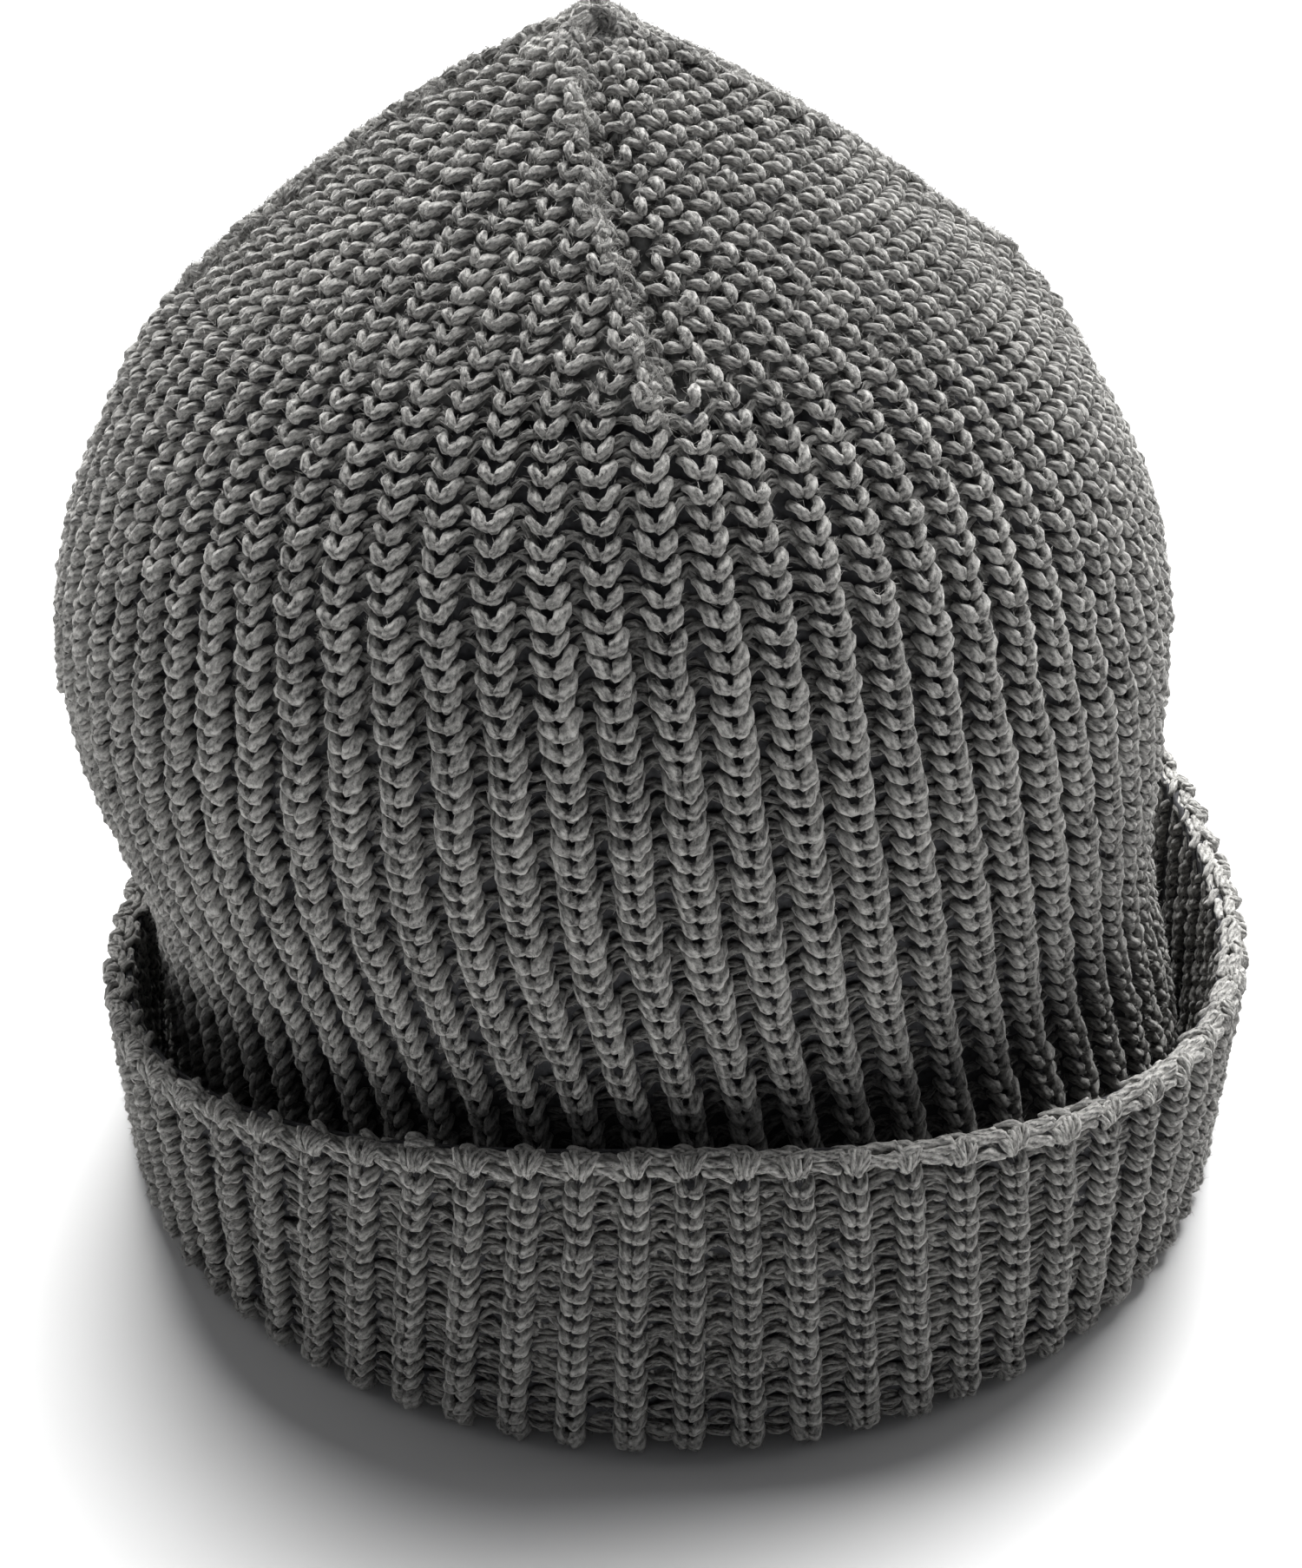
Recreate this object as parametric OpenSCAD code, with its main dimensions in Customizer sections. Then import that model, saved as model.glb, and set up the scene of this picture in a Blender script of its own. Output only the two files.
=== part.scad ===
// Ribbed knit beanie with a turned-up cuff, standing on its fold.
// The front faces -Y, +Z is up, and the origin is the centre of the fold's flat underside.

/* [Body] */
// Height of the knitted crown above the surface the hat stands on
crown_top = 186.3; // [170:0.1:205]
// Outer radius of the body at its widest
body_r = 87; // [80:0.5:92]
// Height of the body's widest point
body_z = 84; // [76:1:92]
// Outer radius of the body where the cuff holds it in
waist_r = 83.6; // [79:0.1:86]
// Height of the narrowest point behind the cuff
waist_z = 52; // [44:1:60]
// Sideways lean of the body above the cuff, to the wearer's right
lean_side = 9.3; // [0:0.1:10]
// Further sideways lean of the tip
lean_tip = 1.5; // [0:0.1:3]
// Forward lean of the tip
lean_front = 12.5; // [0:0.5:14]
// Thickness of the ribbed fabric from rib crest to inner face
knit_t = 4.5; // [3:0.1:5]

/* [Crown darts] */
// Height at which the darts start
dart_foot_z = 149; // [140:1:155]
// Twist of the knitting at the foot of the darts, in degrees
dart_twist = 5.6; // [0:0.1:8]
// Width of a linked dart seam
seam_w = 1.8; // [1.2:0.1:2.4]
// How far a seam's ridge stands out from the inner face
seam_ridge = 3; // [1.5:0.1:3.5]
// Height of the gathered nub on the tip
nub_h = 3.4; // [1:0.1:5]

/* [Cuff] */
// Outer radius of the cuff at the fold
fold_r = 95; // [93:0.5:100]
// Outer radius of the cuff at its top edge, at the front
edge_r = 93.3; // [92:0.1:98]
// Height of the cuff's top edge at the front and back
edge_z = 54.7; // [46:0.1:60]
// How far the top edge dips on the left side
dip_left = 14; // [0:0.5:16]
// How far the top edge dips on the right side
dip_right = 7; // [0:0.5:16]
// Squareness of the top edge: 2 is a circle
edge_square = 2.44; // [2:0.02:2.6]
// Height of the looped cast-on row along the top edge
edge_h = 4.2; // [3:0.1:5]

/* [Fold] */
// Height of the fold's turn, where the wall and the cuff leave it
fold_h = 8; // [7:0.1:9]
// Outer radius of the body wall at the fold
rim_r = 88; // [86:0.1:89]
// Corner radius of the fold
fold_round = 4.4; // [3.6:0.1:4.6]

/* [Care label] */
// Width of the folded label
label_w = 22; // [15:1:30]
// Length of the folded label
label_l = 30; // [20:1:35]
// Thickness of the two label layers
label_t = 0.8; // [0.5:0.1:1.2]

/* [Hidden] */

yarn = [0.37, 0.37, 0.36];
yarn_dark = [0.3, 0.3, 0.3];
label_white = [0.86, 0.85, 0.82];

quarter = 90;                 // one gore, in degrees
back = 180;
sides_around = 48;            // flat facets around the hat
gore_steps = sides_around / 4;
wall_rings = 8;
crown_rings = 8;
cuff_rings = 4;
arc_steps = 8;
dome_power = 2.3;             // how square the shoulder of the crown is
dome_sharp = 0.92;            // how pointed the tip is
step = 0.05;                  // small height step that gives the slope of the profile
lean_low_z = 15;              // the body leans sideways from here up
lean_rise = 80;               // height over which the lean comes in
lean_tip_z = 120;             // the tip leans further from here up

gather_h = 4.3;               // height of the gathered tip above the ends of the gores
gather_z = crown_top - gather_h;
tip_cone_h = 1.4;             // how far below the top the gathered cone ends
nub_neck_r = 3.4;
nub_r = 2.4;
nub_neck_f = 0.4;             // height of the nub's neck, as a share of the nub
nub_round_f = 0.9;            // height at which the nub rounds over
seam_inset = 0.8;             // the seams lie in a shallow groove
seam_half = seam_w / 2;
ridge_half = 2.2;             // half the width of the joined selvedges
ridge_gap = 0.12;             // keeps a ridge's flat back off the facets of the fabric
cuff_ridge_t = 1.6;           // thinner ridge between the cuff and the wall
slot_out_r = fold_r - knit_t; // inner face of the cuff at the fold
wall_in_r = rim_r - knit_t;
label_z = 24;                 // lower end of the label
label_inset = knit_t + seam_ridge;
label_cols = 4;               // facets across the label
label_rows = 2;
seam_mid_inset = label_inset / 2;
edge_roll = 0.3;              // how far the cast-on row stands out on both faces
edge_side_f = 0.65;           // height of the row's straight side
edge_crest_f = 0.25;          // how far the crest is drawn in, as a share of the fabric
stitch_n = 5;
stitch_l = 2.4;
stitch_t = 0.5;
stitch_drop = 3;              // distance from the label's top to its stitches

// 0 below the range, 1 above it, with a soft start and end
function ease(t) = let (c = min(1, max(0, t))) c * c * (3 - 2 * c);

// Outer radius of the crown, from 0 at its foot to 1 at its top
function dome_r(t) = body_r * pow(max(0, 1 - pow(t, dome_power)), dome_sharp);

// Outer radius of the body at a height
function hat_r(z) =
    z > body_z ? dome_r((z - body_z) / (crown_top - body_z))
    : z > waist_z ? waist_r + (body_r - waist_r) * ease((z - waist_z) / (body_z - waist_z))
    : rim_r + (waist_r - rim_r) * ease((z - fold_h) / (waist_z - fold_h));

// Centre of the body's section at a height
function hat_x(z) = -lean_side * ease((z - lean_low_z) / lean_rise)
    - lean_tip * max(0, (z - lean_tip_z) / (crown_top - lean_tip_z));
function hat_y(z) = -lean_front * max(0, (z - body_z) / (crown_top - body_z));

// Twist of the crown's knitting at a height
function twist(z) = dart_twist * min(1, max(0, (crown_top - z) / (crown_top - dart_foot_z)));

// Slope of the profile, as radius per height
function slope(z) = (hat_r(z) - hat_r(z - step)) / step;

// Point on the body, inset square to the surface
function body_point(phi, z, inset) = let (
    k = slope(z),
    n = sqrt(1 + k * k),
    r = hat_r(z) - inset / n
) [hat_x(z) + r * sin(phi), hat_y(z) - r * cos(phi), z + inset * k / n];

// Height of the cuff's top edge around the hat
function edge_top(phi) = edge_z
    - ((dip_left + dip_right) / 2 + (dip_right - dip_left) / 2 * sin(phi)) * pow(sin(phi), 2);

// Outer radius of the cuff: round at the fold and squarer at the top
function cuff_r(phi, v) = let (n = 2 + (edge_square - 2) * v, r = fold_r + (edge_r - fold_r) * v)
    r * pow(pow(abs(cos(phi)), n) + pow(abs(sin(phi)), n), -1 / n);

// Point on the cuff: v is 0 at the fold and 1 at the cast-on edge, lift is height above that
function cuff_point(phi, v, inset, lift = 0) = let (
    z = fold_h + v * (edge_top(phi) - edge_h - fold_h) + lift,
    r = cuff_r(phi, v) - inset
) [r * sin(phi), -r * cos(phi), z];

// Closed solid between two grids of points, open at its ends or joined round in a loop
module shell(outer, inner, loop) {
    rows = len(outer);
    cols = len(outer[0]);
    layer = rows * cols;
    last = loop ? cols - 1 : cols - 2;
    t = rows - 1;
    c = cols - 1;
    function at(j, i, side) = side * layer + j * cols + i % cols;
    // facet from one grid corner to the opposite one, on the outer (0) or inner (1) grid
    function cell(j, i, side) = [
        at(j, i, side), at(j + 1, i, side), at(j + 1, i + 1, side), at(j, i + 1, side)
    ];
    // facet between the two grids, from one corner to another
    function wall(j, i, j2, i2) = [at(j, i, 0), at(j2, i2, 0), at(j2, i2, 1), at(j, i, 1)];
    function flip(f) = [f[3], f[2], f[1], f[0]];
    skin = [for (j = [0:rows - 2], i = [0:last]) cell(j, i, 0)];
    lining = [for (j = [0:rows - 2], i = [0:last]) flip(cell(j, i, 1))];
    foot = [for (i = [0:last]) wall(0, i, 0, i + 1)];
    head = [for (i = [0:last]) flip(wall(t, i, t, i + 1))];
    start = loop ? [] : [for (j = [0:rows - 2]) flip(wall(j, 0, j + 1, 0))];
    end = loop ? [] : [for (j = [0:rows - 2]) wall(j, c, j + 1, c)];
    polyhedron(
        points = [for (grid = [outer, inner], row = grid, p = row) p],
        faces = concat(skin, lining, foot, head, start, end),
        convexity = 6
    );
}

// Heights from low to high in equal steps
function heights(low, high, n) = [for (j = [0:n]) low + (high - low) * j / n];

// Angle that a half width takes up at a height
function half_angle(z, half) = asin(half / (hat_r(z) - seam_mid_inset));

// Strip of the body around the angle mid, from an inset down to the seam's ridge.
// It runs straight down the hat, or turned with the knitting.
module body_strip(mid, zs, half, inset, turned) {
    function row(z, depth) = [for (s = [-1, 1])
        body_point(mid + (turned ? twist(z) : 0) + s * half_angle(z, half), z, depth)];
    shell([for (z = zs) row(z, inset)], [for (z = zs) row(z, label_inset)], false);
}

// Tube of the body from the fold up to the darts
module body_wall() {
    zs = heights(fold_h, dart_foot_z, wall_rings);
    function ring(z, inset) = [for (i = [0:sides_around - 1]) body_point(i * 360 / sides_around, z, inset)];
    color(yarn) shell([for (z = zs) ring(z, 0)], [for (z = zs) ring(z, knit_t)], true);
}

// One quarter of the crown, between two dart seams
module crown_gore(k) {
    zs = heights(dart_foot_z, gather_z, crown_rings);
    function edge(z) = half_angle(z, seam_half);
    function row(z, inset) = [for (i = [0:gore_steps])
        body_point(twist(z) + k * quarter + edge(z) + i * (quarter - 2 * edge(z)) / gore_steps, z, inset)];
    color(yarn) shell([for (z = zs) row(z, 0)], [for (z = zs) row(z, knit_t)], false);
}

// Linked seam that closes one dart, with its ridge inside the crown
module dart_seam(k) {
    zs = heights(dart_foot_z, gather_z, crown_rings);
    color(yarn_dark) body_strip(k * quarter, zs, seam_half, seam_inset, true);
}

// Gathered stitches that close the tip
module crown_gather_thread() {
    k = slope(gather_z);
    n = sqrt(1 + k * k);
    tip_r = hat_r(gather_z);
    under = tip_r - knit_t / n;
    under_z = gather_z + knit_t * k / n;
    color(yarn_dark) translate([hat_x(gather_z), hat_y(gather_z), 0]) rotate_extrude($fn = sides_around)
        polygon([
            [0, under_z], [under, under_z], [tip_r, gather_z], [tip_r / 2, crown_top - tip_cone_h],
            [nub_neck_r, crown_top + nub_h * nub_neck_f],
            [nub_r, crown_top + nub_h * nub_round_f],
            [0, crown_top + nub_h]
        ]);
}

// Turn of the fabric that the hat stands on
module turn_up_fold() {
    outer_arc = [for (i = [0:arc_steps]) let (a = -90 + 90 * i / arc_steps)
        [fold_r - fold_round + fold_round * cos(a), fold_round + fold_round * sin(a)]];
    inner_arc = [for (i = [0:arc_steps]) let (a = 180 + 90 * i / arc_steps)
        [wall_in_r + fold_round + fold_round * cos(a), fold_round + fold_round * sin(a)]];
    slot_r = (slot_out_r - rim_r) / 2;
    slot_arc = [for (i = [0:arc_steps]) let (a = -180 * i / arc_steps)
        [slot_out_r - slot_r + slot_r * cos(a), knit_t + slot_r + slot_r * sin(a)]];
    color(yarn) rotate_extrude($fn = sides_around) polygon(concat(
        [[wall_in_r, fold_h]], inner_arc, outer_arc,
        [[fold_r, fold_h], [slot_out_r, fold_h]], slot_arc, [[rim_r, fold_h]]
    ));
}

// Turned-up band, from the fold to the cast-on row
module cuff_band() {
    function ring(v, inset) = [for (i = [0:sides_around - 1]) cuff_point(i * 360 / sides_around, v, inset)];
    vs = heights(0, 1, cuff_rings);
    color(yarn) shell([for (v = vs) ring(v, 0)], [for (v = vs) ring(v, knit_t)], true);
}

// Rounded row of cast-on loops along the top of the cuff
module cast_on_edge() {
    side_h = edge_h * edge_side_f;
    crest = knit_t * edge_crest_f;
    function ring(inset, lift) = [for (i = [0:sides_around - 1])
        cuff_point(i * 360 / sides_around, 1, inset, lift)];
    color(yarn) shell(
        [ring(-edge_roll, 0), ring(-edge_roll, side_h), ring(crest, edge_h)],
        [ring(knit_t + edge_roll, 0), ring(knit_t + edge_roll, side_h), ring(knit_t - crest, edge_h)],
        true
    );
}

// Joined selvedges down the inside of the back
module back_seam() {
    zs = heights(fold_h, dart_foot_z, wall_rings);
    color(yarn_dark) body_strip(back, zs, ridge_half, knit_t + ridge_gap, false);
}

// The same seam on the cuff, turned to the hidden side
module cuff_seam() {
    reach = asin(ridge_half / (fold_r - knit_t));
    function row(v, inset) = [for (s = [-1, 1]) cuff_point(back + s * reach, v, inset)];
    vs = heights(0, 1, cuff_rings);
    color(yarn_dark) shell(
        [for (v = vs) row(v, knit_t + ridge_gap)],
        [for (v = vs) row(v, knit_t + cuff_ridge_t)],
        false
    );
}

// Blank folded label, held by the back seam
module care_label() {
    zs = heights(label_z, label_z + label_l, label_rows);
    function row(z, inset) = [for (i = [0:label_cols])
        body_point(back + (2 * i / label_cols - 1) * half_angle(z, label_w / 2), z, inset)];
    color(label_white) shell(
        [for (z = zs) row(z, label_inset)],
        [for (z = zs) row(z, label_inset + label_t)],
        false
    );
}

// Short stitches across the top of the label
module label_stitches() {
    z = label_z + label_l - stitch_drop;
    r = hat_r(z) - label_inset - label_t - stitch_t / 2;
    color(yarn_dark) for (i = [0:stitch_n - 1])
        translate([hat_x(z), hat_y(z), 0])
            rotate(back + (i - (stitch_n - 1) / 2) * half_angle(z, label_w / stitch_n))
                translate([-stitch_l / 2, -r - stitch_t / 2, z])
                    cube([stitch_l, stitch_t, stitch_t]);
}

body_wall();
crown_gore(0);  // crown_gore_front_right
crown_gore(1);  // crown_gore_back_right
crown_gore(2);  // crown_gore_back_left
crown_gore(3);  // crown_gore_front_left
dart_seam(0);  // dart_seam_front
dart_seam(1);  // dart_seam_right
dart_seam(2);  // dart_seam_back
dart_seam(3);  // dart_seam_left
crown_gather_thread();
turn_up_fold();
cuff_band();
cast_on_edge();
back_seam();
cuff_seam();
care_label();
label_stitches();
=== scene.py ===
# A ribbed knit beanie with a turned-up cuff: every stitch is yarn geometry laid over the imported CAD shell.
# Lengths are in millimetres until a mesh is made. Angles run round the hat from the front (-Y) towards +X.
import math

import bpy
import numpy as np
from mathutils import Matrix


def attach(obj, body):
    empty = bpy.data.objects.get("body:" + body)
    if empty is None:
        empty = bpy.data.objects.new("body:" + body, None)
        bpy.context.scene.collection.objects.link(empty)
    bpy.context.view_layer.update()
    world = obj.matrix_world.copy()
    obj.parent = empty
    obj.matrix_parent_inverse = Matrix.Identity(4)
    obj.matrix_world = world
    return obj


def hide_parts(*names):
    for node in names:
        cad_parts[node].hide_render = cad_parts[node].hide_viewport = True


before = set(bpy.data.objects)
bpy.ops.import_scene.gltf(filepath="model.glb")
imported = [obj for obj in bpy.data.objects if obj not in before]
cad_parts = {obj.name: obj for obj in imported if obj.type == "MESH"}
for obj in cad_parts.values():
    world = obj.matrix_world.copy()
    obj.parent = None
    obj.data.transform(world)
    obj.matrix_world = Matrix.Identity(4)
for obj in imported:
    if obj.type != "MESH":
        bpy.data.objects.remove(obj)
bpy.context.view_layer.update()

MM = 0.001
TURN = 2 * math.pi

# ---------------------------------------------------------------- the CAD shape, as in part.scad
CROWN_TOP = 186.3
BODY_R, BODY_Z = 87.0, 84.0
WAIST_R, WAIST_Z = 83.6, 52.0
LEAN_SIDE, LEAN_TIP, LEAN_FRONT = 9.3, 1.5, 12.5
LEAN_LOW_Z, LEAN_RISE, LEAN_TIP_Z = 15, 80, 120
KNIT_T = 4.5
DART_FOOT_Z = 149.0
FOLD_R, EDGE_R, EDGE_Z = 95.0, 93.3, 54.7
DIP_LEFT, DIP_RIGHT = 14.0, 7.0
EDGE_SQUARE = 2.44
EDGE_H = 4.2
FOLD_H, RIM_R, FOLD_ROUND = 8.0, 88.0, 4.4
DOME_POWER, DOME_SHARP = 2.3, 0.92

# ---------------------------------------------------------------- the knitting
RIBS = 72
RIB_STEP = TURN / RIBS
GORE = TURN / 4
GORE_NAMES = ("front_right", "back_right", "back_left", "front_left")
GORE_RIBS = RIBS // 4
ROW = 2.85             # height of one row
CUFF_ROW = 2.62        # the same on the cuff
EVEN_PITCH = 7.6       # a rib's width where the hat is widest, the size that YARN is given for
YARN = 0.93            # radius of the yarn
PLY = 0.18             # how deep the groove between its two plies is
FIBRE = 0.042          # radius of a loose fibre
WALL_LOW_Z = 12.0      # the wall's outside is hidden below this
DART_TWIST = math.radians(8.2)   # angle of the darts' feet, further round than in part.scad
TIP_TWIST = math.radians(16)     # the darts swing back by this much towards the tip
WALL_TWIST = math.radians(1.3)   # the ribs lean over above the waist
WALL_TWIST_Z, WALL_TWIST_RISE = 146, 62       # gone at this height, and full this far below it
SPREAD = (0.17, -0.03)           # the ribs fan out at the front and back shoulder: shares with 2 and 4 waves
SPREAD_Z, SPREAD_RISE = 105, 40  # from this height up, and full this far above it
SIDE_TWIST = math.radians(14)    # the ribs on the right side lean further towards the cuff
SIDE_Z, SIDE_DROP = 122, 95      # from this height down, and full this far below it
SIDE_ALL_ROUND = 0.12            # share of it that the whole hat has
SIDE_MIDDLE, SIDE_WIDTH = math.radians(70), math.radians(48)
CUFF_TURN = math.radians(13.6)   # how far round the cuff's ribs are turned
CUFF_SPREAD = (-0.10, 0.16)      # the cuff's ribs are closer at the front of its edge, and spread lower down
CUFF_SPREAD_S = 46     # distance below the edge at which they have spread
PUCKER = 1.5           # how deep a dart's valley is
ROLLED = 0.9           # how far the fabric stands up beside it
FOOT_BULGE = 2.0       # how far the fabric bulges at a dart's foot
END_DIM, START_DIM = 0.45, 0.25  # painted shade: how much darker a stitch leg is at its upper and lower end, where it goes under the neighbouring stitches
FIBRE_SHADE = 0.9      # colour of a loose fibre, as a share of the yarn's
DART_SHADE = 0.85      # the same for the yarn along the darts: painted shade, the puckered dart yarn in its own shadow

GROUND_SAMPLES = 6     # points per rib of the layer behind the yarn
LABEL_W, LABEL_L, LABEL_Z, LABEL_INSET = 22.0, 30.0, 24.0, 7.5
FLOOR_CLEAR = 0.02     # the yarn under the fold is flattened on the floor

rng = np.random.default_rng(7)


def ease(t):
    """0 below the range, 1 above it, with a soft start and end."""
    c = np.clip(t, 0, 1)
    return c * c * (3 - 2 * c)


def hat_r(z):
    """Outer radius of the body at a height."""
    z = np.asarray(z, float)
    dome = np.clip((z - BODY_Z) / (CROWN_TOP - BODY_Z), 0, 1)
    top = BODY_R * (1 - dome**DOME_POWER) ** DOME_SHARP
    middle = WAIST_R + (BODY_R - WAIST_R) * ease((z - WAIST_Z) / (BODY_Z - WAIST_Z))
    low = RIM_R + (WAIST_R - RIM_R) * ease((z - FOLD_H) / (WAIST_Z - FOLD_H))
    return np.where(z > BODY_Z, top, np.where(z > WAIST_Z, middle, low))


def hat_axis(z):
    """Centre of the body's section at a height."""
    x = -LEAN_SIDE * ease((z - LEAN_LOW_Z) / LEAN_RISE)
    x = x - LEAN_TIP * np.clip((z - LEAN_TIP_Z) / (CROWN_TOP - LEAN_TIP_Z), 0, 1)
    y = -LEAN_FRONT * np.clip((z - BODY_Z) / (CROWN_TOP - BODY_Z), 0, 1)
    return x, y


def twist(z):
    """Angle that the knitting has turned by at a height."""
    t = np.clip((z - DART_FOOT_Z) / (CROWN_TOP - DART_FOOT_Z), 0, 1)
    return DART_TWIST - TIP_TWIST * t**1.6 + WALL_TWIST * ease((WALL_TWIST_Z - z) / WALL_TWIST_RISE)


def spread(a, z):
    """How far the rib at angle a is pushed aside: by the fan at the shoulders above, by the lean below."""
    high = SPREAD[0] / 2 * np.sin(2 * a) + SPREAD[1] / 4 * np.sin(4 * a)
    off = (a - SIDE_MIDDLE + math.pi) % TURN - math.pi
    low = SIDE_TWIST * (SIDE_ALL_ROUND + (1 - SIDE_ALL_ROUND) * np.exp(-((off / SIDE_WIDTH) ** 2)))
    return ease((z - SPREAD_Z) / SPREAD_RISE) * high + ease((SIDE_Z - z) / SIDE_DROP) * low


def spread_pitch(a, z):
    """Width of a rib, as a share of an even rib."""
    return 1 + (spread(a + 0.01, z) - spread(a - 0.01, z)) / 0.02


def dart_distance(phi, z):
    """Distance round the hat from a point to the nearest dart line."""
    off = phi - twist(z)
    off = off - GORE * np.round(off / GORE)
    return off * hat_r(z)


def relief(phi, z):
    """How far the fabric stands out from the smooth CAD body: gore pillows, dart valleys and foot bulges."""
    off = dart_distance(phi, z)
    above = ease((z - DART_FOOT_Z + 6) / 10)
    valley = -PUCKER * above * np.exp(-(((off - 0.9) / 1.5) ** 2))
    rolled = ROLLED * above * np.exp(-(((off + 3.4) / 2.4) ** 2))
    bulge = FOOT_BULGE * np.exp(-(((z - DART_FOOT_Z + 5) / 10) ** 2) - (off / 9) ** 2)
    return valley + rolled + bulge


def body_point(phi, z, inset=0.0):
    """Point of the body, inset square to its surface."""
    h = 0.05
    k = (hat_r(z) - hat_r(z - h)) / h
    n = np.sqrt(1 + k * k)
    out = relief(phi, z) - inset
    x, y = hat_axis(z)
    r = np.maximum(hat_r(z) + out / n, 0.2)
    return np.stack([x + r * np.sin(phi), y - r * np.cos(phi), z - out * k / n], -1)


def edge_top(phi):
    """Height of the cuff's top edge round the hat."""
    dip = (DIP_LEFT + DIP_RIGHT) / 2 + (DIP_RIGHT - DIP_LEFT) / 2 * np.sin(phi)
    return EDGE_Z - dip * np.sin(phi) ** 2


def cuff_point(phi, v, inset=0.0):
    """Point of the cuff: v is 0 at the fold's turn and 1 at the foot of the cast-on row."""
    square = 2 + (EDGE_SQUARE - 2) * np.clip(v, 0, 1)
    r = FOLD_R + (EDGE_R - FOLD_R) * v
    r = r * (np.abs(np.cos(phi)) ** square + np.abs(np.sin(phi)) ** square) ** (-1 / square) - inset
    z = FOLD_H + v * (edge_top(phi) - EDGE_H - FOLD_H)
    return np.stack([r * np.sin(phi), -r * np.cos(phi), z], -1)


# ---------------------------------------------------------------- meshes
def make_mesh(name, verts, quads, tris, material, uvs=None, shade=None):
    """Mesh object from points in millimetres, quads and triangles; uvs is one pair per point."""
    mesh = bpy.data.meshes.new(name)
    quads = np.asarray(quads, np.int32).reshape(-1, 4)
    tris = np.asarray(tris, np.int32).reshape(-1, 3)
    loops = np.concatenate([quads.ravel(), tris.ravel()])
    sizes = np.concatenate([np.full(len(quads), 4, np.int32), np.full(len(tris), 3, np.int32)])
    mesh.vertices.add(len(verts))
    mesh.vertices.foreach_set("co", (np.asarray(verts, float) * MM).astype(np.float32).ravel())
    mesh.loops.add(len(loops))
    mesh.loops.foreach_set("vertex_index", loops)
    mesh.polygons.add(len(sizes))
    mesh.polygons.foreach_set("loop_start", np.concatenate([[0], np.cumsum(sizes)[:-1]]).astype(np.int32))
    mesh.polygons.foreach_set("loop_total", sizes)
    if uvs is not None:
        layer = mesh.uv_layers.new(name="yarn")
        layer.data.foreach_set("uv", np.asarray(uvs, np.float32)[loops].ravel())
    if shade is not None:
        layer = mesh.attributes.new("shade", "FLOAT", "POINT")
        layer.data.foreach_set("value", np.asarray(shade, np.float32))
    mesh.update(calc_edges=True)
    mesh.polygons.foreach_set("use_smooth", np.ones(len(sizes), bool))
    obj = bpy.data.objects.new(name, mesh)
    bpy.context.scene.collection.objects.link(obj)
    mesh.materials.append(material)
    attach(obj, "root")
    return obj


def unit(v):
    """Directions of length 1."""
    return v / np.maximum(np.linalg.norm(v, axis=-1, keepdims=True), 1e-9)


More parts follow.
